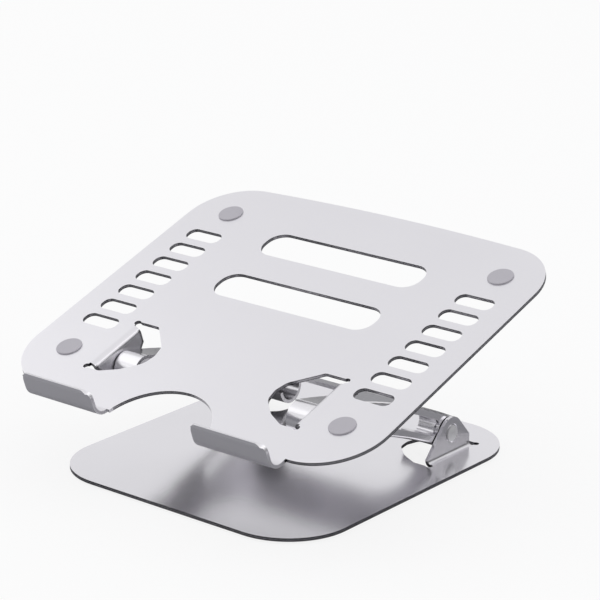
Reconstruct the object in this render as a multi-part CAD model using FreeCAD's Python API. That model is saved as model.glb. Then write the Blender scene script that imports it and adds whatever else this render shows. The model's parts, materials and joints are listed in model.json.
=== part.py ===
"""Folding laptop stand: a base plate, a bowed arm and a slotted top plate.

The stand is bent from 2 mm aluminium sheet. Two ears on the base carry the arm, and two ears
under the top plate hang on the arm's other end. A friction set on each of the four pivots
(rivet, washers, disc springs, nut) holds the stand wherever it is put.

Millimetres, +X to the right, +Y to the back, +Z up. The stand is built with the base plate's
upper face at z = 0 and is then moved so that the origin is the bottom centre of its box.
"""
import FreeCAD, Part
import math
import os

V = FreeCAD.Vector
X_AXIS = V(1, 0, 0)
Z_AXIS = V(0, 0, 1)

# ---- driving dimensions -------------------------------------------------------------------
SHEET = 2.0                # thickness of all three sheets
SIDES = (-1, 1)            # left and right

# base plate
BASE_HALF_WIDTH = 93.0
BASE_FRONT = -29.8
BASE_REAR = 174.2
BASE_CORNER_R = 38.0
FOOT_R = 8.0
FOOT_HEIGHT = 1.2
FOOT_X = 62.0
FOOT_INSET = 12.5          # from the base's front and rear edges

# pivots
BASE_PIVOT_Y = 129.5
BASE_PIVOT_Z = 12.0
ARM_LENGTH = 120.6         # pivot to pivot
ARM_ANGLE = 18.9           # degrees above level, rising to the front
TOP_TILT = 18.5            # degrees, rear edge up
TOP_PIVOT_U = 12.0         # along the top plate from its front pads
TOP_PIVOT_DEPTH = 14.0     # below the top plate's upper face

# ears and the windows that they are folded out of
EAR_INNER_X = 71.0
EAR_NOSE_R = 9.5
EAR_HEAD_RECESS_R = 5.7
EAR_HEAD_RECESS = 0.6
EAR_BEND_R = 4.0           # outside radius of the fold
WINDOW_APEX_X = 43.0
WINDOW_FRONT = -23.3       # from the window's centre line to its front end
WINDOW_REAR = 23.2
BASE_WINDOW_Y = 128.0
TOP_WINDOW_U = 11.8

# arm
ARM_HALF_WIDTH = 70.5
LEG_INNER_X = 54.5         # inner side of the legs at the top plate
LEG_REAR_INNER_X = 44.5    # and at the base, where they are wider
ARM_BOW_R = 420.0          # radius of the arm's upper face
KNUCKLE_R = 9.5
KNUCKLE_SWEEP = 235.0      # degrees that the rolled end turns
CROSS_REAR = 24.0          # cross web, measured from the base pivot along the arm
CROSS_FRONT = 58.0
CROSS_CORNER_R = 18.0
ARM_EDGE_R = 1.6
FLANGE_WINDOW = (10.0, 56.0)   # long window in each side wall, from the base pivot
FLANGE_WINDOW_HEIGHT = 9.6

# friction set on each pivot
SHANK_R = 3.0
RUNNING = 0.06             # radial clearance on a turning shank
HEAD_R = 4.6
HEAD_RIM = 1.3             # straight part of the head, from its seat
HEAD_DOME = 0.6
WASHER_R = 8.0
WASHER_T = 0.4
SPRING_R = 6.4
SPRING_T = 0.5
SPRING_CONE = 0.35
NUT_FLATS = 8.0
NUT_T = 3.6
SIDE_GAP = 0.1             # axial play beside a turning part
SHANK_PROUD = 0.8          # shank beyond the nut

# top plate, in its own frame: x, u to the rear, n out of the upper face
TOP_HALF_WIDTH = 125.0
TOP_REAR_MID = 176.8
TOP_REAR_SIDE = 174.0
TOP_REAR_SIDE_X = 91.0
TOP_REAR_CORNER_U = 140.0
TOP_FRONT_CORNER_U = 3.0
TOP_FRONT_CORNER_R = 37.0
CUTOUT_CENTRE_U = -42.5
CUTOUT_R = 34.0
PAD_R = 7.5
PAD_T = 0.8
PAD_X = 97.7
PAD_U = (0.0, 146.0)
SIDE_SLOT_X = 97.8
SIDE_SLOT_U0 = 120.4
SIDE_SLOT_PITCH = 15.52
SIDE_SLOT_COUNT = 7
SIDE_SLOT_SIZE = (24.3, 9.9)
SIDE_SLOT_R = 4.4
BIG_SLOT_U = (128.5, 84.8)
BIG_SLOT_SIZE = (113.0, 22.3)
BIG_SLOT_R = 10.0

# front lips
LIP_X = (35.5, 86.5)
LIP_ROOT_U = -37.5
LIP_BEND_R = 8.5           # outside radius of the upward bend
LIP_TOP_N = 14.0           # where the straight wall ends
LIP_CURL_R = 3.6           # outside radius of the forward curl at the tip
LIP_CORNER_R = 7.0
LIP_RELIEF_X = 89.0

# ---- worked-out values --------------------------------------------------------------------
ARM_RISE = math.radians(ARM_ANGLE)
TILT = math.radians(TOP_TILT)
TOP_PIVOT_Y = BASE_PIVOT_Y - ARM_LENGTH * math.cos(ARM_RISE)
TOP_PIVOT_Z = BASE_PIVOT_Z + ARM_LENGTH * math.sin(ARM_RISE)
TOP_Y0 = TOP_PIVOT_Y - TOP_PIVOT_U * math.cos(TILT) - TOP_PIVOT_DEPTH * math.sin(TILT)
TOP_Z0 = TOP_PIVOT_Z - TOP_PIVOT_U * math.sin(TILT) + TOP_PIVOT_DEPTH * math.cos(TILT)
EAR_OUTER_X = EAR_INNER_X + SHEET
EAR_BEND_X = EAR_INNER_X + EAR_BEND_R
ARM_FLANGE_X = ARM_HALF_WIDTH - SHEET
BOW_DEPTH = math.sqrt((ARM_BOW_R - KNUCKLE_R) ** 2 - (ARM_LENGTH / 2) ** 2)
BOW_HALF = math.degrees(math.asin(ARM_LENGTH / 2 / (ARM_BOW_R - KNUCKLE_R)))
FAR = 400.0                # longer than anything it cuts


# ---- outlines -----------------------------------------------------------------------------
def rounded_wire(points, radii):
    """Closed outline through 2-D corner points, each corner rounded to its own radius."""
    count = len(points)
    edges = []
    last_end = None
    first_start = None
    for i in range(count):
        before, corner, after = points[i - 1], points[i], points[(i + 1) % count]
        a = V(before[0] - corner[0], before[1] - corner[1], 0).normalize()
        b = V(after[0] - corner[0], after[1] - corner[1], 0).normalize()
        tip = V(corner[0], corner[1], 0)
        half = a.getAngle(b) / 2
        reach = radii[i] / math.tan(half)
        start = tip + a * reach
        end = tip + b * reach
        if last_end is not None and (start - last_end).Length > 1e-6:
            edges.append(Part.LineSegment(last_end, start).toShape())
        if radii[i] > 0:
            inward = (a + b).normalize()
            middle = tip + inward * (radii[i] / math.sin(half) - radii[i])
            edges.append(Part.Arc(start, middle, end).toShape())
        last_end = end
        first_start = first_start or start
    if (first_start - last_end).Length > 1e-6:
        edges.append(Part.LineSegment(last_end, first_start).toShape())
    return Part.Wire(edges)


def plate(points, radii, low, high):
    """Flat plate between two heights, from a rounded outline in x and y."""
    face = Part.Face(rounded_wire(points, radii))
    face.translate(V(0, 0, low))
    return face.extrude(V(0, 0, high - low))


def rounded_block(centre, size, corner_r, low, high):
    cx, cy = centre
    hx, hy = size[0] / 2, size[1] / 2
    corners = [(cx - hx, cy - hy), (cx + hx, cy - hy), (cx + hx, cy + hy), (cx - hx, cy + hy)]
    return plate(corners, [corner_r] * 4, low, high)


def side_plate(points, radii, x_low, x_high):
    """Plate standing across X, from a rounded outline given as (y, z) points."""
    shape = plate(points, radii, x_low, x_high)
    turn = FreeCAD.Placement(V(0, 0, 0), FreeCAD.Rotation(V(0, 1, 0), V(0, 0, 1), V(1, 0, 0), "XYZ"))
    shape.Placement = turn
    return shape


def x_cylinder(radius, x_low, x_high, y, z):
    return Part.makeCylinder(radius, x_high - x_low, V(x_low, y, z), X_AXIS)


def mirrored(shape):
    return shape.mirror(V(0, 0, 0), X_AXIS)


def on_side(shape, side):
    """A part modelled on the right, or its mirror image on the left."""
    return shape if side > 0 else mirrored(shape)


def tangent_points(circle, radius, point, turn):
    """Where a line from a point touches a circle; turn is +1 or -1 for the two answers."""
    dx, dy = point[0] - circle[0], point[1] - circle[1]
    distance = math.hypot(dx, dy)
    angle = math.atan2(dy, dx) + turn * math.acos(radius / distance)
    return (circle[0] + radius * math.cos(angle), circle[1] + radius * math.sin(angle))


# ---- ears and windows ---------------------------------------------------------------------
def window_points(centre):
    """Right-hand window outline, shaped like the ear that was folded out of it."""
    front = centre + WINDOW_FRONT
    rear = centre + WINDOW_REAR
    bend = EAR_BEND_X
    apex = WINDOW_APEX_X
    points = [(bend, front), (bend - 10, front), (apex + 11.5, front + 5.5), (apex + 1.5, front + 15),
              (apex, centre), (apex + 2, centre + 8), (apex + 15, rear - 2), (apex + 17, rear), (bend, rear)]
    radii = [0, 5, 9, 9, 6, 7, 2, 2, 0]
    return points, radii


def window_cut(centre, side):
    points, radii = window_points(centre)
    hole = plate(points, radii, -SHEET - 1, 1)
    for end in (centre + WINDOW_FRONT, centre + WINDOW_REAR):
        inward = 1 if end < centre else -1
        relief = Part.makeCylinder(2.0, SHEET + 2, V(EAR_BEND_X, end + inward * 1.2, -SHEET - 1))
        hole = hole.fuse(relief)
    return on_side(hole, side)


def ear_outline(pivot, root_front, root_rear, shoulder, root_height):
    """Ear in (along, height), height measured from the far face of its sheet."""
    nose = EAR_NOSE_R
    front_touch = tangent_points(pivot, nose, (root_front, root_height), -1)
    rear_touch = tangent_points(pivot, nose, (root_rear, shoulder), 1)
    top = (pivot[0], pivot[1] + nose)
    edges = [Part.LineSegment(V(root_front, root_height, 0), V(*front_touch, 0)).toShape(),
             Part.Arc(V(*front_touch, 0), V(*top, 0), V(*rear_touch, 0)).toShape(),
             Part.LineSegment(V(*rear_touch, 0), V(root_rear, shoulder, 0)).toShape(),
             Part.LineSegment(V(root_rear, shoulder, 0), V(root_rear, root_height, 0)).toShape(),
             Part.LineSegment(V(root_rear, root_height, 0), V(root_front, root_height, 0)).toShape()]
    return Part.Wire(edges)


def folded_ear(pivot, root_front, root_rear, shoulder):
    """Right-hand ear that stands up from a sheet whose upper face is z = 0.

    Its fold is a quarter bend: outside radius EAR_BEND_R on the window's side, below.
    """
    wall_low = -SHEET + EAR_BEND_R
    wire = ear_outline(pivot, root_front, root_rear, shoulder, wall_low)
    wall = Part.Face(wire).extrude(V(0, 0, SHEET))
    wall.Placement = FreeCAD.Placement(
        V(EAR_INNER_X, 0, 0), FreeCAD.Rotation(V(0, 1, 0), V(0, 0, 1), V(1, 0, 0), "XYZ"))
    fold = quarter_bend(root_front, root_rear)
    ear = wall.fuse(fold)
    recess = x_cylinder(EAR_HEAD_RECESS_R, EAR_OUTER_X - EAR_HEAD_RECESS, EAR_OUTER_X + 1, *pivot)
    hole = x_cylinder(SHANK_R, EAR_INNER_X - 1, EAR_OUTER_X + 1, *pivot)
    return ear.cut([recess, hole]).removeSplitter()


def quarter_bend(front, rear):
    length = rear - front
    outer = Part.makeCylinder(EAR_BEND_R, length, V(EAR_BEND_X, front, -SHEET + EAR_BEND_R), V(0, 1, 0))
    inner_r = EAR_BEND_R - SHEET
    inner = Part.makeCylinder(inner_r, length, V(EAR_BEND_X, front, -SHEET + EAR_BEND_R), V(0, 1, 0))
    quarter = Part.makeBox(EAR_BEND_R, length, EAR_BEND_R, V(EAR_INNER_X, front, -SHEET))
    return outer.cut(inner).common(quarter)


# ---- base plate ---------------------------------------------------------------------------
def make_base_plate():
    corners = [(-BASE_HALF_WIDTH, BASE_FRONT), (BASE_HALF_WIDTH, BASE_FRONT),
               (BASE_HALF_WIDTH, BASE_REAR), (-BASE_HALF_WIDTH, BASE_REAR)]
    body = plate(corners, [BASE_CORNER_R] * 4, -SHEET, 0)
    pivot = (BASE_PIVOT_Y, BASE_PIVOT_Z)
    for side in SIDES:
        body = body.cut(window_cut(BASE_WINDOW_Y, side))
    ear = folded_ear(pivot, BASE_WINDOW_Y - 20.5, BASE_WINDOW_Y + 18.5, 7.0)
    for side in SIDES:
        body = body.fuse(on_side(ear, side))
    return body.removeSplitter()


def make_foot(side, y):
    foot = Part.makeCylinder(FOOT_R, FOOT_HEIGHT, V(side * FOOT_X, y, -SHEET - FOOT_HEIGHT))
    lower_rim = [e for e in foot.Edges if e.BoundBox.ZMax < -SHEET - FOOT_HEIGHT + 0.01]
    return foot.makeFillet(0.35, lower_rim)


# ---- arm, built level from the base pivot towards -Y, then raised -------------------------
def bow_turn(points, radii):
    """Section given as (x, radius) corners, turned about the bow's axis from pivot to pivot."""
    face = Part.Face(rounded_wire(points, radii))
    face.rotate(V(0, 0, 0), X_AXIS, 90)
    face.rotate(V(0, 0, 0), X_AXIS, -BOW_HALF)
    solid = face.revolve(V(0, 0, 0), X_AXIS, 2 * BOW_HALF)
    solid.translate(V(0, -ARM_LENGTH / 2, -BOW_DEPTH))
    return solid


def bow_height(s):
    """Height of the flange's middle line above the pivots' line, s along the arm."""
    return math.sqrt((ARM_BOW_R - KNUCKLE_R) ** 2 - (s - ARM_LENGTH / 2) ** 2) - BOW_DEPTH


def arm_section():
    """Right half of the arm's section: upper sheet and side wall around one bend."""
    top, low = ARM_BOW_R, ARM_BOW_R - 2 * KNUCKLE_R
    wall, edge = ARM_FLANGE_X, ARM_HALF_WIDTH
    points = [(0, top - SHEET), (wall, top - SHEET), (wall, low), (edge, low), (edge, top), (0, top)]
    return points, [0, 0.3, 0, ARM_EDGE_R, ARM_EDGE_R, 0]


def web_gap(inner, end_y, web_y):
    """Opening between the legs, from beyond one pivot to the cross web."""
    corners = [(-inner, end_y), (inner, end_y), (inner, web_y), (-inner, web_y)]
    if web_y < end_y:
        corners.reverse()
        return plate(corners, [CROSS_CORNER_R, CROSS_CORNER_R, 0, 0], -60, 60)
    return plate(corners, [0, 0, CROSS_CORNER_R, CROSS_CORNER_R], -60, 60)


def bow_angle(s):
    """Degrees from the bow's middle to a station s along the arm, towards the base pivot."""
    return math.degrees(math.asin((ARM_LENGTH / 2 - s) / (ARM_BOW_R - KNUCKLE_R)))


def flange_window():
    """Long rounded window in the side wall near the base pivot, following the bow."""
    half = FLANGE_WINDOW_HEIGHT / 2
    mid = ARM_BOW_R - KNUCKLE_R
    low_x, high_x = ARM_FLANGE_X - 1, ARM_HALF_WIDTH + 1
    first, last = FLANGE_WINDOW[0] + half, FLANGE_WINDOW[1] - half
    points = [(low_x, mid - half), (high_x, mid - half), (high_x, mid + half), (low_x, mid + half)]
    face = Part.Face(rounded_wire(points, [0, 0, 0, 0]))
    face.rotate(V(0, 0, 0), X_AXIS, 90 - bow_angle(first))
    cut = face.revolve(V(0, 0, 0), X_AXIS, bow_angle(first) - bow_angle(last))
    cut.translate(V(0, -ARM_LENGTH / 2, -BOW_DEPTH))
    for s in (first, last):
        cut = cut.fuse(x_cylinder(half, low_x, high_x, -s, bow_height(s)))
    return cut


def pivot_turn(points, radii, at_top, sweep):
    """Section given as (x, radius) corners, carried on around a pivot from the bow's end."""
    face = Part.Face(rounded_wire(points, radii))
    way = 1 if at_top else -1
    face.rotate(V(0, 0, 0), X_AXIS, 90 + way * BOW_HALF)
    solid = face.revolve(V(0, 0, 0), V(way, 0, 0), sweep)
    solid.translate(V(0, -ARM_LENGTH if at_top else 0, 0))
    return solid


def make_nose(at_top):
    """Rounded end of a side wall around a pivot."""
    wall, edge = ARM_FLANGE_X, ARM_HALF_WIDTH
    points = [(wall, 0), (edge, 0), (edge, KNUCKLE_R), (wall, KNUCKLE_R)]
    return pivot_turn(points, [0, 0, ARM_EDGE_R, 0], at_top, 180)


def make_knuckle(at_top):
    """Rolled end of a leg, from the upper sheet over the pivot and back underneath."""
    inner_r = KNUCKLE_R - SHEET
    wall, inner = ARM_FLANGE_X, LEG_INNER_X if at_top else LEG_REAR_INNER_X
    points = [(inner, inner_r), (wall, inner_r), (wall, KNUCKLE_R), (inner, KNUCKLE_R)]
    return pivot_turn(points, [0, 0, 0, 0], at_top, KNUCKLE_SWEEP)


def make_arm():
    half = bow_turn(*arm_section())
    half = half.cut(flange_window())
    for at_top in (False, True):
        half = half.fuse(make_nose(at_top)).fuse(make_knuckle(at_top))
    for y in (0, -ARM_LENGTH):
        half = half.cut(x_cylinder(SHANK_R + RUNNING, ARM_FLANGE_X - 1, ARM_HALF_WIDTH + 1, y, 0))
    arm = half.fuse(mirrored(half))
    arm = arm.cut([web_gap(LEG_REAR_INNER_X, FAR, -CROSS_REAR), web_gap(LEG_INNER_X, -FAR, -CROSS_FRONT)])
    arm = arm.removeSplitter()
    arm.rotate(V(0, 0, 0), X_AXIS, -ARM_ANGLE)
    arm.translate(V(0, BASE_PIVOT_Y, BASE_PIVOT_Z))
    return arm


# ---- friction set, built on the right of a pivot at y = z = 0 -----------------------------
def make_rivet():
    """Domed rivet: head outside the outer ear, shank through to the nut."""
    seat = EAR_OUTER_X - EAR_HEAD_RECESS
    inner_end = nut_inner_x() - SHANK_PROUD
    shank = x_cylinder(SHANK_R, inner_end, seat, 0, 0)
    shank = shank.makeChamfer(0.5, [e for e in shank.Edges if e.BoundBox.XMax < inner_end + 0.01])
    rim = x_cylinder(HEAD_R, seat, seat + HEAD_RIM, 0, 0)
    dome_r = (HEAD_R ** 2 + HEAD_DOME ** 2) / (2 * HEAD_DOME)
    ball = Part.makeSphere(dome_r, V(seat + HEAD_RIM + HEAD_DOME - dome_r, 0, 0))
    cap = ball.common(x_cylinder(HEAD_R, seat + HEAD_RIM, seat + HEAD_RIM + HEAD_DOME + 1, 0, 0))
    return shank.fuse(rim).fuse(cap).removeSplitter()


def spring_outer_x():
    return ARM_FLANGE_X - SIDE_GAP


def nut_outer_x():
    return spring_outer_x() - 2 * (SPRING_T + SPRING_CONE)


def nut_inner_x():
    return nut_outer_x() - NUT_T


def make_friction_washer():
    ring = x_cylinder(WASHER_R, EAR_INNER_X - WASHER_T, EAR_INNER_X, 0, 0)
    return ring.cut(x_cylinder(SHANK_R, EAR_INNER_X - 1, EAR_INNER_X + 1, 0, 0))


def cone_ring(outer_face_x, opens_outward):
    """One disc spring; its outer face stays at or inside outer_face_x."""
    lift = SPRING_CONE
    rim_x = outer_face_x - (0 if opens_outward else lift)
    bore_x = outer_face_x - (lift if opens_outward else 0)
    bore_r = SHANK_R
    corners = [V(rim_x, SPRING_R, 0), V(bore_x, bore_r, 0),
               V(bore_x - SPRING_T, bore_r, 0), V(rim_x - SPRING_T, SPRING_R, 0)]
    corners.append(corners[0])
    return Part.Face(Part.makePolygon(corners)).revolve(V(0, 0, 0), X_AXIS, 360)


def make_disc_springs():
    """Two disc springs set rim to rim."""
    outer = cone_ring(spring_outer_x(), False)
    inner = cone_ring(spring_outer_x() - SPRING_T - SPRING_CONE, True)
    return Part.makeCompound([outer, inner])


def make_nut():
    corner_r = NUT_FLATS / 2 / math.cos(math.radians(30))
    corners = []
    for k in range(7):
        angle = math.radians(60 * k + 30)
        corners.append(V(nut_inner_x(), corner_r * math.cos(angle), corner_r * math.sin(angle)))
    nut = Part.Face(Part.makePolygon(corners)).extrude(V(NUT_T, 0, 0))
    nut = nut.cut(x_cylinder(SHANK_R, nut_inner_x() - 1, nut_outer_x() + 1, 0, 0))
    tip_r = NUT_FLATS / 2 + 0.25
    cone = Part.makeCone(tip_r, tip_r + NUT_T, NUT_T, V(nut_inner_x(), 0, 0), X_AXIS)
    return nut.common(cone)


# ---- top plate, in its own frame ----------------------------------------------------------
def top_outline():
    """Right half of the outline is written once; the left half mirrors it."""
    w = TOP_HALF_WIDTH
    corner_start = V(w, TOP_REAR_CORNER_U, 0)
    corner_end = V(TOP_REAR_SIDE_X, TOP_REAR_SIDE, 0)
    corner_mid = V(w - 10.2, TOP_REAR_SIDE - 10.2, 0)
    front_r = TOP_FRONT_CORNER_R
    centre = V(w - front_r, TOP_FRONT_CORNER_U, 0)
    turn = math.acos((LIP_RELIEF_X - centre.x) / front_r)
    front_end = centre + V(front_r * math.cos(turn), -front_r * math.sin(turn), 0)
    front_mid = centre + V(front_r * math.cos(turn / 2), -front_r * math.sin(turn / 2), 0)
    front_start = V(w, TOP_FRONT_CORNER_U, 0)
    right = [Part.LineSegment(V(0, LIP_ROOT_U, 0), V(LIP_X[1], LIP_ROOT_U, 0)),
             Part.LineSegment(V(LIP_X[1], LIP_ROOT_U, 0), V(LIP_X[1], front_end.y, 0)),
             Part.LineSegment(V(LIP_X[1], front_end.y, 0), front_end),
             Part.Arc(front_end, front_mid, front_start),
             Part.LineSegment(front_start, corner_start),
             Part.Arc(corner_start, corner_mid, corner_end)]
    edges = [c.toShape() for c in right]
    rear = Part.Arc(corner_end, V(0, TOP_REAR_MID, 0), V(-corner_end.x, corner_end.y, 0)).toShape()
    left = [mirrored(e) for e in edges]
    return Part.Wire(Part.__sortEdges__(edges + [rear] + left))


def lip_profile():
    """Section of a lip in (u, n): bend up from the sheet, wall, forward curl at the tip."""
    r_out, r_in = LIP_BEND_R, LIP_BEND_R - SHEET
    bend_centre = V(LIP_ROOT_U, r_out - SHEET, 0)
    outer_u = LIP_ROOT_U - r_out
    curl_out, curl_in = LIP_CURL_R, LIP_CURL_R - SHEET
    curl_centre = V(outer_u - curl_in, LIP_TOP_N, 0)

    def around(centre, radius, degrees):
        a = math.radians(degrees)
        return centre + V(radius * math.cos(a), radius * math.sin(a), 0)

    tip = 80.0
    root_low = V(LIP_ROOT_U, -SHEET, 0)
    root_high = V(LIP_ROOT_U, 0, 0)
    edges = [Part.Arc(root_low, around(bend_centre, r_out, 225), around(bend_centre, r_out, 180)),
             Part.LineSegment(around(bend_centre, r_out, 180), around(curl_centre, curl_in, 0)),
             Part.Arc(around(curl_centre, curl_in, 0), around(curl_centre, curl_in, tip / 2),
                      around(curl_centre, curl_in, tip)),
             Part.LineSegment(around(curl_centre, curl_in, tip), around(curl_centre, curl_out, tip)),
             Part.Arc(around(curl_centre, curl_out, tip), around(curl_centre, curl_out, tip / 2),
                      around(curl_centre, curl_out, 0)),
             Part.LineSegment(around(curl_centre, curl_out, 0), around(bend_centre, r_in, 180)),
             Part.Arc(around(bend_centre, r_in, 180), around(bend_centre, r_in, 225), root_high),
             Part.LineSegment(root_high, root_low)]
    return Part.Wire([c.toShape() for c in edges])


def make_lip():
    """Right-hand lip, with its upper corners rounded."""
    width = LIP_X[1] - LIP_X[0]
    lip = Part.Face(lip_profile()).extrude(V(0, 0, width))
    lip.Placement = FreeCAD.Placement(
        V(LIP_X[0], 0, 0), FreeCAD.Rotation(V(0, 1, 0), V(0, 0, 1), V(1, 0, 0), "XYZ"))
    height = LIP_TOP_N + LIP_CURL_R
    corners = [(LIP_X[0], -20), (LIP_X[1], -20), (LIP_X[1], height + 0.2), (LIP_X[0], height + 0.2)]
    mask = plate(corners, [0, 0, LIP_CORNER_R, LIP_CORNER_R], -FAR, FAR)
    mask.rotate(V(0, 0, 0), X_AXIS, 90)
    return lip.common(mask)


def slot_cuts():
    cuts = []
    for side in SIDES:
        for k in range(SIDE_SLOT_COUNT):
            centre = (side * SIDE_SLOT_X, SIDE_SLOT_U0 - k * SIDE_SLOT_PITCH)
            cuts.append(rounded_block(centre, SIDE_SLOT_SIZE, SIDE_SLOT_R, -SHEET - 1, 1))
    for u in BIG_SLOT_U:
        cuts.append(rounded_block((0, u), BIG_SLOT_SIZE, BIG_SLOT_R, -SHEET - 1, 1))
    return cuts


def make_top_plate():
    sheet = Part.Face(top_outline()).extrude(V(0, 0, -SHEET))
    cuts = slot_cuts()
    cuts.append(Part.makeCylinder(CUTOUT_R, SHEET + 2, V(0, CUTOUT_CENTRE_U, -SHEET - 1)))
    for side in SIDES:
        cuts.append(window_cut(TOP_WINDOW_U, side))
    sheet = sheet.cut(cuts)
    pivot = (TOP_PIVOT_U, TOP_PIVOT_DEPTH - SHEET)
    ear = folded_ear(pivot, TOP_WINDOW_U - 19.0, TOP_WINDOW_U + 19.0, 8.0)
    hanging = ear.mirror(V(0, 0, -SHEET / 2), Z_AXIS)
    for side in SIDES:
        sheet = sheet.fuse(on_side(hanging, side))
        sheet = sheet.fuse(on_side(make_lip(), side))
    return sheet.removeSplitter()


def make_pad(side, u):
    pad = Part.makeCylinder(PAD_R, PAD_T, V(side * PAD_X, u, 0))
    upper_rim = [e for e in pad.Edges if e.BoundBox.ZMin > PAD_T - 0.01]
    return pad.makeFillet(0.4, upper_rim)


def tilt_into_place(shape):
    shape.rotate(V(0, 0, 0), X_AXIS, TOP_TILT)
    shape.translate(V(0, TOP_Y0, TOP_Z0))
    return shape


# ---- assembly -----------------------------------------------------------------------------
def pivot_set(y, z, prefix):
    """The four kinds of piece on one axis; the rivets and nuts share a node each."""
    nodes = {}
    rivets = []
    nuts = []
    for side, name in zip(SIDES, ("left", "right")):
        rivets.append(on_side(make_rivet(), side))
        nuts.append(on_side(make_nut(), side))
        nodes[f"{prefix}_friction_washer_{name}"] = on_side(make_friction_washer(), side)
        nodes[f"{prefix}_disc_springs_{name}"] = on_side(make_disc_springs(), side)
    nodes[f"{prefix}_pivot_rivets"] = Part.makeCompound(rivets)
    nodes[f"{prefix}_lock_nuts"] = Part.makeCompound(nuts)
    for shape in nodes.values():
        shape.translate(V(0, y, z))
    return nodes


def build():
    nodes = {"base_plate": make_base_plate(), "arm": make_arm(),
             "top_plate": tilt_into_place(make_top_plate())}
    rows = (("front", BASE_FRONT + FOOT_INSET), ("rear", BASE_REAR - FOOT_INSET))
    for side, name in zip(SIDES, ("left", "right")):
        for row, y in rows:
            nodes[f"foot_{row}_{name}"] = make_foot(side, y)
        for row, u in zip(("front", "rear"), PAD_U):
            nodes[f"pad_{row}_{name}"] = tilt_into_place(make_pad(side, u))
    nodes.update(pivot_set(BASE_PIVOT_Y, BASE_PIVOT_Z, "base"))
    nodes.update(pivot_set(TOP_PIVOT_Y, TOP_PIVOT_Z, "top"))
    return nodes


def main():
    os.makedirs("parts", exist_ok=True)
    nodes = build()
    front = nodes["top_plate"].optimalBoundingBox().YMin
    shift = V(0, -(front + BASE_REAR) / 2, SHEET + FOOT_HEIGHT)
    for name, shape in nodes.items():
        shape.translate(shift)
        shape.exportStep(f"parts/{name}.step")
        print(f"{name:30s} solids {len(shape.Solids)}  volume {shape.Volume:10.1f}  valid {shape.isValid()}")
    whole = Part.makeCompound(list(nodes.values())).optimalBoundingBox()
    print(f"box {whole.XLength:.2f} x {whole.YLength:.2f} x {whole.ZLength:.2f}, z from {whole.ZMin:.3f}")
    print(f"shift y {shift.y:.3f}, z {shift.z:.3f}")
    print(f"base pivot y {BASE_PIVOT_Y + shift.y:.3f} z {BASE_PIVOT_Z + shift.z:.3f}")
    print(f"top pivot y {TOP_PIVOT_Y + shift.y:.3f} z {TOP_PIVOT_Z + shift.z:.3f}")
    print(f"top plate origin y {TOP_Y0 + shift.y:.3f} z {TOP_Z0 + shift.z:.3f}")


main()
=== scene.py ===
# %% [markdown]
# # A folding laptop stand in satin aluminium
#
# The stand is three bent sheets, four friction pivots, four pads and four feet. The imported model
# already has every piece in its right place and size, so this lesson is about what light does on
# bent sheet metal: a satin face, a dark cut edge between bright corners, and plain rivets. The dark
# cut edge is painted shade and the bright corners are a painted highlight, both mixed into the
# metal's colour.
#
# We could model the sheets again with a subdivision surface. The imported sheets already have true
# bends and rounded slots, so they stay, and the work goes into their finish.

import json
import math

import bmesh
import bpy
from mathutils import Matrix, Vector

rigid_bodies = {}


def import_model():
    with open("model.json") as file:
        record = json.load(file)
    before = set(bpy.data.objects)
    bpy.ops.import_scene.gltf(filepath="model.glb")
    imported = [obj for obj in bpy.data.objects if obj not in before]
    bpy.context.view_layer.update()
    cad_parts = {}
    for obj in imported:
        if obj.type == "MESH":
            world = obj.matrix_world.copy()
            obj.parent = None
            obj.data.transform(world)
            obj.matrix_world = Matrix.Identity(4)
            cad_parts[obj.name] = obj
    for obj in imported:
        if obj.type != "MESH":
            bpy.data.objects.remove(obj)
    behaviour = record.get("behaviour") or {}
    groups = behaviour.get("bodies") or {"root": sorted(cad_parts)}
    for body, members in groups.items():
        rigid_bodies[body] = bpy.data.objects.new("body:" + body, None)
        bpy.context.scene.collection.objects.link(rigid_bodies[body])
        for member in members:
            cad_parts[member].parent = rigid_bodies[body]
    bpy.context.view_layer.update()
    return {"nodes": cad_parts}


for left_over in list(bpy.data.objects):
    bpy.data.objects.remove(left_over)

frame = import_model()
nodes = frame["nodes"]

# %% [markdown]
# ## Helpers for shader nodes
#
# A material is a tree of small nodes, and most of the typing goes into making a node and setting
# its values. We could write that out each time. Three short helpers do it instead, so that the
# cells below show what a finish is made of.

# %% Short helpers for shader nodes
def add(tree, kind, **settings):
    """A new shader node, with its properties and unlinked inputs set by name or number."""
    node = tree.nodes.new(kind)
    inputs = settings.pop("inputs", {})
    for name, value in settings.items():
        setattr(node, name, value)
    for name, value in inputs.items():
        node.inputs[name].default_value = value
    return node


def new_group(name, inputs, outputs):
    """An empty node group with named sockets; returns the group and its two end nodes."""
    group = bpy.data.node_groups.new(name, "ShaderNodeTree")
    for socket, kind, value in inputs:
        made = group.interface.new_socket(name=socket, in_out="INPUT", socket_type=kind)
        made.default_value = value
    for socket, kind in outputs:
        group.interface.new_socket(name=socket, in_out="OUTPUT", socket_type=kind)
    return group, group.nodes.new("NodeGroupInput"), group.nodes.new("NodeGroupOutput")


def use_group(tree, group, **values):
    """Places a group in a material, with its own values."""
    node = tree.nodes.new("ShaderNodeGroup")
    node.node_tree = group
    for name, value in values.items():
        node.inputs[name.replace("_", " ")].default_value = value
    return node


print("helpers:", [helper.__name__ for helper in (add, new_group, use_group)])
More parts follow.
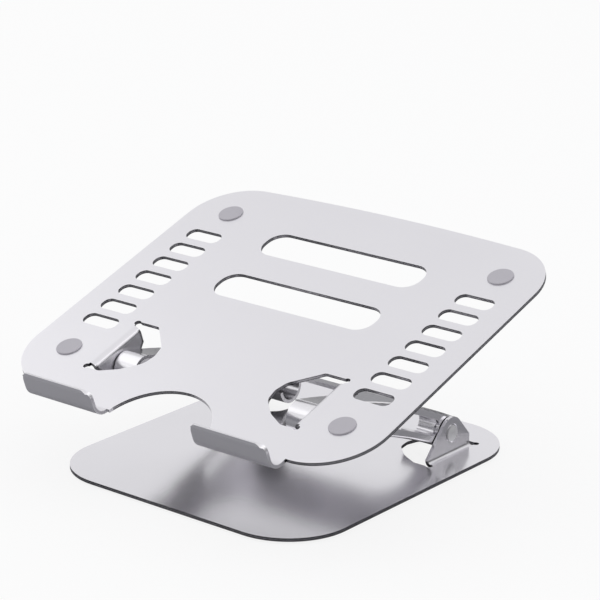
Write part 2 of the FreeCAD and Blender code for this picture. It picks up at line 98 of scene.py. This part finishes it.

# %% [markdown]
# ## A node group for a corner mask
#
# A sheet's edge shows a thin bright line, the highlight on its tiny chamfer, and the metal finishes
# paint that highlight into their colour near every corner. The painted shade on the cut edges uses
# the same mask. One way is to paint a mask by hand. A mask worked out from the shape is better
# here, because it follows every slot and bend. The Bevel node gives a normal that is softened near
# corners. Where it turns away from the true normal there is a corner, and the dot product of the
# two tells how near it is.

# %% The corner mask group
def build_corner_mask():
    group, ins, outs = new_group(
        "corner mask",
        [("Width", "NodeSocketFloat", 0.0006), ("Sharpness", "NodeSocketFloat", 6.0)],
        [("Mask", "NodeSocketFloat")])
    bevel = add(group, "ShaderNodeBevel", samples=6)
    geometry = add(group, "ShaderNodeNewGeometry")
    dot = add(group, "ShaderNodeVectorMath", operation="DOT_PRODUCT")
    drop = add(group, "ShaderNodeMath", operation="SUBTRACT", inputs={0: 1.0})
    gain = add(group, "ShaderNodeMath", operation="MULTIPLY", use_clamp=True)
    links = group.links
    links.new(ins.outputs["Width"], bevel.inputs["Radius"])
    links.new(bevel.outputs["Normal"], dot.inputs[0])
    links.new(geometry.outputs["Normal"], dot.inputs[1])
    links.new(dot.outputs["Value"], drop.inputs[1])
    links.new(drop.outputs[0], gain.inputs[0])
    links.new(ins.outputs["Sharpness"], gain.inputs[1])
    links.new(gain.outputs[0], outs.inputs["Mask"])
    return group


# The mask marks where the finishes paint a highlight on corners and painted shade on cut edges.
corner_mask = build_corner_mask()
print("group:", corner_mask.name, [s.name for s in corner_mask.interface.items_tree])

# %% [markdown]
# ## A node group for a fine, even skin
#
# The sheets are blasted with fine glass beads and then anodised. That leaves a very fine, even
# grain, and slow changes of tone where the bath and the hand met the metal. Two noises in Object
# coordinates do it: one well under a millimetre for the grain, one at a few centimetres for the
# tone. An image would repeat, and would need a map on every bent face.

# %% The blasted metal group
def build_blasted_metal():
    group, ins, outs = new_group(
        "blasted metal",
        [("Grain Scale", "NodeSocketFloat", 2600.0), ("Tone Scale", "NodeSocketFloat", 14.0),
         ("Roughness", "NodeSocketFloat", 0.3), ("Spread", "NodeSocketFloat", 0.08),
         ("Colour", "NodeSocketColor", (0.8, 0.8, 0.82, 1)),
         ("Shade", "NodeSocketColor", (0.7, 0.7, 0.73, 1))],
        [("Colour", "NodeSocketColor"), ("Roughness", "NodeSocketFloat"),
         ("Height", "NodeSocketFloat")])
    where = add(group, "ShaderNodeTexCoord")
    grain = add(group, "ShaderNodeTexNoise", inputs={"Detail": 2.0, "Roughness": 0.6})
    tone = add(group, "ShaderNodeTexNoise", inputs={"Detail": 3.0, "Roughness": 0.5})
    mix = add(group, "ShaderNodeMix", data_type="RGBA")
    spread = add(group, "ShaderNodeMath", operation="MULTIPLY_ADD", use_clamp=True)
    centre = add(group, "ShaderNodeMath", operation="SUBTRACT", inputs={1: 0.5})
    links = group.links
    for noise, scale in ((grain, "Grain Scale"), (tone, "Tone Scale")):
        links.new(where.outputs["Object"], noise.inputs["Vector"])
        links.new(ins.outputs[scale], noise.inputs["Scale"])
    links.new(tone.outputs["Fac"], mix.inputs["Factor"])
    links.new(ins.outputs["Colour"], mix.inputs["A"])
    links.new(ins.outputs["Shade"], mix.inputs["B"])
    links.new(tone.outputs["Fac"], centre.inputs[0])
    links.new(centre.outputs[0], spread.inputs[0])
    links.new(ins.outputs["Spread"], spread.inputs[1])
    links.new(ins.outputs["Roughness"], spread.inputs[2])
    links.new(mix.outputs["Result"], outs.inputs["Colour"])
    links.new(spread.outputs[0], outs.inputs["Roughness"])
    links.new(grain.outputs["Fac"], outs.inputs["Height"])
    return group


blasted_metal = build_blasted_metal()
print("group:", blasted_metal.name, [s.name for s in blasted_metal.interface.items_tree])

# %% [markdown]
# ## A node group for the cut edge
#
# A slot is cut after the sheet is rolled, so its wall is a smoother strip than the face. Its
# near-black look is painted shade: the finishes mix a dark colour into the wall, standing for the
# shade inside the slots and the dark gaps of the room that it mirrors. We could give those faces a
# second material, but they would have to be picked by hand. The group finds them: it wants a place
# near a corner, where the surface doesn't face the way the sheet does, and beyond a line that
# leaves the lips or ears out. The sheet is 2 mm thick, so a bevel radius of 3 mm reaches across the
# whole edge.

# %% The cut edge group
def build_cut_edge():
    group, ins, outs = new_group(
        "cut edge",
        [("Width", "NodeSocketFloat", 0.003), ("Face", "NodeSocketVector", (0, 0, 1)),
         ("Along", "NodeSocketVector", (0, 1, 0)), ("Start", "NodeSocketFloat", -1.0)],
        [("Mask", "NodeSocketFloat")])
    near = use_group(group, corner_mask, Sharpness=30.0)
    where = add(group, "ShaderNodeTexCoord")
    facing = add(group, "ShaderNodeVectorMath", operation="DOT_PRODUCT")
    size = add(group, "ShaderNodeMath", operation="ABSOLUTE")
    aside = add(group, "ShaderNodeMath", operation="LESS_THAN", inputs={1: 0.6})
    place = add(group, "ShaderNodeVectorMath", operation="DOT_PRODUCT")
    beyond = add(group, "ShaderNodeMath", operation="GREATER_THAN")
    both = add(group, "ShaderNodeMath", operation="MULTIPLY")
    every = add(group, "ShaderNodeMath", operation="MULTIPLY", use_clamp=True)
    links = group.links
    links.new(ins.outputs["Width"], near.inputs["Width"])
    links.new(where.outputs["Normal"], facing.inputs[0])
    links.new(ins.outputs["Face"], facing.inputs[1])
    links.new(facing.outputs["Value"], size.inputs[0])
    links.new(size.outputs[0], aside.inputs[0])
    links.new(where.outputs["Object"], place.inputs[0])
    links.new(ins.outputs["Along"], place.inputs[1])
    links.new(place.outputs["Value"], beyond.inputs[0])
    links.new(ins.outputs["Start"], beyond.inputs[1])
    links.new(aside.outputs[0], both.inputs[0])
    links.new(beyond.outputs[0], both.inputs[1])
    links.new(both.outputs[0], every.inputs[0])
    links.new(near.outputs["Mask"], every.inputs[1])
    links.new(every.outputs[0], outs.inputs["Mask"])
    return group


cut_edge = build_cut_edge()
print("group:", cut_edge.name, [s.name for s in cut_edge.interface.items_tree])

# %% [markdown]
# ## The metal finishes
#
# One recipe makes all the metals: the skin group for colour, roughness and grain, and the corner
# mask to paint a highlight into the corners' colour and smooth them. On the top plate and the base,
# the cut edge group adds painted shade on the cut edges. The Principled BSDF itself stays in the
# material. The top plate is the roughest of the sheets. The base and the rolled arm are smoother,
# so that they mirror the room in soft bands.

# %% Painted shade and a smoother finish on the cut edges
# Painted shade: the near-black colour mixed into the cut edges' walls.
CUT_PAINTED_SHADE = (0.055, 0.053, 0.06, 1)
CUT_ROUGHNESS = 0.12


def lay_cut_edge(tree, colour_out, rough_out, cut):
    """Mixes the cut edge's painted shade and lower roughness over a metal's colour and roughness,
    and returns the two mixed outputs.
    """
    face, along, start = cut
    rim = use_group(tree, cut_edge, Start=start)
    rim.inputs["Face"].default_value = face
    rim.inputs["Along"].default_value = along
    # Painted shade on the cut edge.
    paint_cut_shade = add(tree, "ShaderNodeMix", data_type="RGBA")
    paint_cut_shade.inputs["B"].default_value = CUT_PAINTED_SHADE
    polish = add(tree, "ShaderNodeMix", data_type="FLOAT")
    polish.inputs["B"].default_value = CUT_ROUGHNESS
    links = tree.links
    links.new(rim.outputs["Mask"], paint_cut_shade.inputs["Factor"])
    links.new(rim.outputs["Mask"], polish.inputs["Factor"])
    links.new(colour_out, paint_cut_shade.inputs["A"])
    links.new(rough_out, polish.inputs["A"])
    return paint_cut_shade.outputs["Result"], polish.outputs["Result"]


print("cut edge roughness:", CUT_ROUGHNESS)

# %% One recipe for a metal with painted corner highlights
GRAIN_DEPTH = 0.00004      # metres from the grain's pits to its tops
CORNER_SMOOTHING = 0.6     # a corner's roughness, as a share of the face's


def metal(name, colour, shade, roughness, spread, bump, painted_highlight_colour, edge_width=0.0004, cut=None):
    """A metal with a painted highlight on its smoother corners. Where cut is given as the sheet's
    facing, a direction and a distance along it, the cut edges beyond that distance get painted
    shade."""
    material = bpy.data.materials.new(name)
    material.use_nodes = True
    tree = material.node_tree
    shader = tree.nodes["Principled BSDF"]
    shader.inputs["Metallic"].default_value = 1.0
    skin = use_group(tree, blasted_metal, Roughness=roughness, Spread=spread)
    skin.inputs["Colour"].default_value = (*colour, 1)
    skin.inputs["Shade"].default_value = (*shade, 1)
    corner = use_group(tree, corner_mask, Width=edge_width)
    # Painted highlight: near the corners the colour is mixed towards the pale edge colour.
    paint_highlight = add(tree, "ShaderNodeMix", data_type="RGBA")
    paint_highlight.inputs["B"].default_value = (*painted_highlight_colour, 1)
    smooth = add(tree, "ShaderNodeMix", data_type="FLOAT")
    smooth.inputs["B"].default_value = roughness * CORNER_SMOOTHING
    relief = add(tree, "ShaderNodeBump", inputs={"Strength": bump, "Distance": GRAIN_DEPTH})
    links = tree.links
    links.new(corner.outputs["Mask"], paint_highlight.inputs["Factor"])
    links.new(corner.outputs["Mask"], smooth.inputs["Factor"])
    links.new(skin.outputs["Colour"], paint_highlight.inputs["A"])
    links.new(skin.outputs["Roughness"], smooth.inputs["A"])
    links.new(skin.outputs["Height"], relief.inputs["Height"])
    links.new(relief.outputs["Normal"], shader.inputs["Normal"])
    colour_out, rough_out = paint_highlight.outputs["Result"], smooth.outputs["Result"]
    if cut:
        colour_out, rough_out = lay_cut_edge(tree, colour_out, rough_out, cut)
    links.new(colour_out, shader.inputs["Base Color"])
    links.new(rough_out, shader.inputs["Roughness"])
    return material


print("recipe:", metal.__name__)

# %% The three sheets
TILT = math.radians(18.5)                           # the top plate at rest
TOP_FACE = (0, -math.sin(TILT), math.cos(TILT))
TOP_ALONG = (0, math.cos(TILT), math.sin(TILT))
LIPS_END = -0.0740                                  # up the slope, just past the lips' bend
BASE_FACE = (0, 0, 1)
DOWN = (0, 0, -1)
BASE_TOP = -0.0033                                  # measured downwards: just above the base plate
# Painted highlight: the pale colour mixed into the sheets' corners.
PAINTED_EDGE_HIGHLIGHT = (0.96, 0.96, 0.97)
satin_plate = metal("satin plate", (0.83, 0.82, 0.85), (0.80, 0.79, 0.82), roughness=0.34,
                    spread=0.05, bump=0.2, painted_highlight_colour=PAINTED_EDGE_HIGHLIGHT, cut=(TOP_FACE, TOP_ALONG, LIPS_END))
satin_base = metal("satin base", (0.80, 0.79, 0.82), (0.76, 0.75, 0.78), roughness=0.2,
                   spread=0.05, bump=0.15, painted_highlight_colour=PAINTED_EDGE_HIGHLIGHT, edge_width=0.0002,
                   cut=(BASE_FACE, DOWN, BASE_TOP))
bright_arm = metal("bright arm", (0.86, 0.85, 0.87), (0.80, 0.79, 0.82), roughness=0.2,
                   spread=0.05, bump=0.1, painted_highlight_colour=PAINTED_EDGE_HIGHLIGHT)
print("sheets:", [made.name for made in (satin_plate, satin_base, bright_arm)])

# %% The pivots' metals
# The edge colours of the pivots' metals are painted highlights on their corners.
pale_rivet = metal("pale rivet", (0.97, 0.97, 0.97), (0.93, 0.93, 0.94), roughness=0.6,
                   spread=0.03, bump=0.05, painted_highlight_colour=PAINTED_EDGE_HIGHLIGHT, edge_width=0.0003)
oiled_spring = metal("oiled spring", (0.42, 0.42, 0.44), (0.34, 0.34, 0.36), roughness=0.24,
                     spread=0.05, bump=0.1, painted_highlight_colour=(0.6, 0.6, 0.62), edge_width=0.0002)
plated_nut = metal("plated nut", (0.66, 0.66, 0.68), (0.58, 0.58, 0.61), roughness=0.22,
                   spread=0.05, bump=0.1, painted_highlight_colour=(0.8, 0.8, 0.82), edge_width=0.0002)
print("pivots:", [made.name for made in (pale_rivet, oiled_spring, plated_nut)])

# %% [markdown]
# ## Silicone and plastic
#
# The pads are soft silicone discs: matte, with a fine moulded texture, and with a slight lilac cast
# that is painted reflection, the light the metal around them throws on them, mixed into their
# colour. The friction washers are a slippery black plastic. Both could have a recipe of their own,
# but a moulded skin is also a fine grain with slow changes of tone, so the same group serves, with
# a bump that stays far below the piece's size.

# %% One recipe for soft and plastic pieces
MOULD_DEPTH = 0.00008      # metres from the moulded texture's pits to its tops
MOULD_TONE_SCALE = 60.0
MOULD_SPREAD = 0.12


def moulded(name, colour, shade, roughness, grain_scale, bump, sheen=0.0):
    """A moulded material with slow changes of colour and a fine surface texture."""
    material = bpy.data.materials.new(name)
    material.use_nodes = True
    tree = material.node_tree
    shader = tree.nodes["Principled BSDF"]
    skin = use_group(tree, blasted_metal, Grain_Scale=grain_scale, Tone_Scale=MOULD_TONE_SCALE,
                     Roughness=roughness, Spread=MOULD_SPREAD)
    skin.inputs["Colour"].default_value = (*colour, 1)
    skin.inputs["Shade"].default_value = (*shade, 1)
    relief = add(tree, "ShaderNodeBump", inputs={"Strength": bump, "Distance": MOULD_DEPTH})
    shader.inputs["Sheen Weight"].default_value = sheen
    links = tree.links
    links.new(skin.outputs["Colour"], shader.inputs["Base Color"])
    links.new(skin.outputs["Roughness"], shader.inputs["Roughness"])
    links.new(skin.outputs["Height"], relief.inputs["Height"])
    links.new(relief.outputs["Normal"], shader.inputs["Normal"])
    return material


# The pads' lilac tint is painted reflection of the metal around them.
pad_silicone = moulded("pad silicone", (0.52, 0.505, 0.55), (0.48, 0.465, 0.505),
                       roughness=0.62, grain_scale=1800.0, bump=0.35, sheen=0.1)
foot_silicone = moulded("foot silicone", (0.10, 0.10, 0.11), (0.07, 0.07, 0.08),
                        roughness=0.7, grain_scale=1500.0, bump=0.4, sheen=0.1)
washer_plastic = moulded("washer plastic", (0.03, 0.03, 0.035), (0.02, 0.02, 0.025),
                         roughness=0.35, grain_scale=2200.0, bump=0.15)
print("moulded:", pad_silicone.name, foot_silicone.name, washer_plastic.name)

# %% [markdown]
# ## Each piece gets its finish
#
# The nodes are named for what they are, so a part of the name is enough to choose a finish. A list
# with all 23 names would do the same and be longer. Each finish also names a slot, the record's
# material it stands for, but nothing here uses it.

# %% Give each node its finish
FINISHES = (("pad_", pad_silicone, "pad"), ("foot_", foot_silicone, "foot"),
            ("washer", washer_plastic, "washer"), ("rivets", pale_rivet, "rivet"),
            ("springs", oiled_spring, "spring"), ("nuts", plated_nut, "nut"),
            ("top_plate", satin_plate, "sheet"), ("base_plate", satin_base, "sheet"),
            ("arm", bright_arm, "sheet"))


def finish_for(name):
    """The material and the record's slot for a node."""
    for part, material, slot in FINISHES:
        if part in name:
            return material, slot
    raise KeyError(name)


for name, node in nodes.items():
    material, slot = finish_for(name)
    node.data.materials.clear()
    node.data.materials.append(material)
print("finished nodes:", len(nodes))

# %% [markdown]
# ## The floor
#
# The stand is on white paper with only a faint shadow. A plain white floor would shine up into
# the metal and wash out its underside, and a grey one would look grey. The Light Path node lets
# one floor be both: the camera sees nearly white, and the metal sees grey.

# %% A white floor that the metal sees as grey
FLOOR_HALF_SIZE = 6.0
FLOOR_WHITE = (0.9, 0.9, 0.905, 1)
FLOOR_GREY = (0.36, 0.36, 0.375, 1)
FLOOR_GLOW = 0.85          # how much of the seen floor is its own glow, where no shadow falls


def paper_material():
    material = bpy.data.materials.new("white paper")
    material.use_nodes = True
    tree = material.node_tree
    tree.nodes.clear()
    seen = add(tree, "ShaderNodeLightPath")
    paper = add(tree, "ShaderNodeBsdfDiffuse", inputs={"Color": FLOOR_WHITE})
    grey = add(tree, "ShaderNodeBsdfDiffuse", inputs={"Color": FLOOR_GREY})
    glow = add(tree, "ShaderNodeEmission", inputs={"Color": (1, 1, 1, 1), "Strength": 1.0})
    to_camera = add(tree, "ShaderNodeMixShader", inputs={"Fac": FLOOR_GLOW})
    choose = add(tree, "ShaderNodeMixShader")
    out = add(tree, "ShaderNodeOutputMaterial")
    links = tree.links
    links.new(paper.outputs[0], to_camera.inputs[1])
    links.new(glow.outputs[0], to_camera.inputs[2])
    links.new(seen.outputs["Is Camera Ray"], choose.inputs[0])
    links.new(grey.outputs[0], choose.inputs[1])
    links.new(to_camera.outputs[0], choose.inputs[2])
    links.new(choose.outputs[0], out.inputs["Surface"])
    return material


def make_floor():
    mesh = bmesh.new()
    bmesh.ops.create_grid(mesh, x_segments=1, y_segments=1, size=FLOOR_HALF_SIZE)
    data = bpy.data.meshes.new("studio_floor")
    mesh.to_mesh(data)
    mesh.free()
    data.materials.append(paper_material())
    floor = bpy.data.objects.new("studio_floor", data)
    bpy.context.scene.collection.objects.link(floor)
    return floor


floor = make_floor()
print("floor:", floor.name, "grey to the metal:", FLOOR_GREY[0])

# %% [markdown]
# ## The room around the stand
#
# Metal shows what is around it more than its own colour. A studio surrounds it with pale cards
# and leaves darker gaps between them, which draw the bands on every rolled part. We could model
# the cards. A world that changes with direction does the same with less work: dark at the
# horizon, pale above it, with one greyer band on the way up. The right-hand side is darker near
# the horizon, which tones down the upright ears that face it. The camera sees plain white.

# %% A world with darker gaps
SKY_LEVELS = ((0.0, 0.10), (0.06, 0.25), (0.20, 0.94), (0.40, 0.94), (0.50, 0.60), (0.62, 0.90))
SKY_BLUENESS = 1.01        # blue against red and green
SIDE_FADE = {"From Min": 0.05, "From Max": 0.5, "To Min": 1.0, "To Max": 0.3}
HEIGHT_FADE = {"From Min": 0.25, "From Max": 0.6, "To Min": 0.0, "To Max": 1.0}


def sky_ramp(tree, levels):
    """A colour ramp with one grey for each height."""
    ramp = add(tree, "ShaderNodeValToRGB")
    stops = ramp.color_ramp.elements
    while len(stops) < len(levels):
        stops.new(0.5)
    for stop, (height, grey) in zip(stops, levels):
        stop.position = height
        stop.color = (grey, grey, grey * SKY_BLUENESS, 1)
    return ramp


def make_world(levels):
    """The surroundings, brighter or darker with height, and plain white to the camera."""
    world = bpy.data.worlds.new("studio")
    bpy.context.scene.world = world
    world.use_nodes = True
    tree = world.node_tree
    tree.nodes.clear()
    way = add(tree, "ShaderNodeTexCoord")
    parts = add(tree, "ShaderNodeSeparateXYZ")
    ramp = sky_ramp(tree, levels)
    side = add(tree, "ShaderNodeMapRange", inputs=SIDE_FADE)
    low = add(tree, "ShaderNodeMapRange", inputs=HEIGHT_FADE)
    shade = add(tree, "ShaderNodeMath", operation="MAXIMUM")
    around = add(tree, "ShaderNodeBackground")
    white = add(tree, "ShaderNodeBackground", inputs={"Color": (1, 1, 1, 1), "Strength": 1.0})
    seen = add(tree, "ShaderNodeLightPath")
    choose = add(tree, "ShaderNodeMixShader")
    out = add(tree, "ShaderNodeOutputWorld")
    links = tree.links
    links.new(way.outputs["Generated"], parts.inputs[0])
    links.new(parts.outputs["Z"], ramp.inputs["Fac"])
    links.new(ramp.outputs["Color"], around.inputs["Color"])
    links.new(parts.outputs["X"], side.inputs["Value"])
    links.new(parts.outputs["Z"], low.inputs["Value"])
    links.new(side.outputs["Result"], shade.inputs[0])
    links.new(low.outputs["Result"], shade.inputs[1])
    links.new(shade.outputs[0], around.inputs["Strength"])
    links.new(seen.outputs["Is Camera Ray"], choose.inputs[0])
    links.new(around.outputs[0], choose.inputs[1])
    links.new(white.outputs[0], choose.inputs[2])
    links.new(choose.outputs[0], out.inputs["Surface"])
    return world


world = make_world(SKY_LEVELS)
print("world:", world.name, "with", len(SKY_LEVELS), "levels")

# %% [markdown]
# ## Two soft boxes
#
# The world alone gives no direction to the light. Point lamps would put hard spots on the metal.
# Two large, weak rectangles far to the sides give a soft shadow and a broad sheen instead.

# %% Soft boxes
LIGHT_AIM = (0, 0, 0.05)


def turned_to(place, aim):
    """The rotation that points a light or a camera at one place towards another."""
    return (Vector(aim) - Vector(place)).to_track_quat("-Z", "Y").to_euler()


def soft_box(name, place, width, height, power):
    """A rectangular studio light, turned towards the stand."""
    light = bpy.data.lights.new(name, "AREA")
    light.shape = "RECTANGLE"
    light.size, light.size_y = width, height
    light.energy = power
    box = bpy.data.objects.new(name, light)
    box.location = place
    box.rotation_euler = turned_to(place, LIGHT_AIM)
    bpy.context.scene.collection.objects.link(box)
    return box


soft_box("box_left", (-1.6, -0.4, 1.0), width=2.2, height=1.6, power=4)
soft_box("box_right", (1.3, 0.9, 1.1), width=1.2, height=0.9, power=3)

# %% [markdown]
# ## The camera
#
# A product picture is taken with a long lens from well back, so that the far edges don't shrink
# much. A short lens close up would fill the frame as well, but bend the stand's proportions. The
# Standard view transform keeps the white paper white.

# %% Camera
SENSOR_WIDTH = 36.0        # millimetres, as the lens
LENS = 152.79
CAMERA_AT = Vector((0.8576, -1.01873, 0.5321))
CAMERA_LOOK = Vector((-0.6043, 0.7334, -0.3113))


def make_camera(place, aim):
    data = bpy.data.cameras.new("camera")
    data.sensor_width = SENSOR_WIDTH
    data.lens = LENS
    data.dof.use_dof = False
    camera = bpy.data.objects.new("camera", data)
    camera.location = place
    camera.rotation_euler = turned_to(place, aim)
    bpy.context.scene.collection.objects.link(camera)
    bpy.context.scene.camera = camera
    return camera


make_camera(CAMERA_AT, CAMERA_AT + CAMERA_LOOK)
bpy.context.scene.view_settings.view_transform = "Standard"
print("camera at", [round(v, 3) for v in CAMERA_AT])
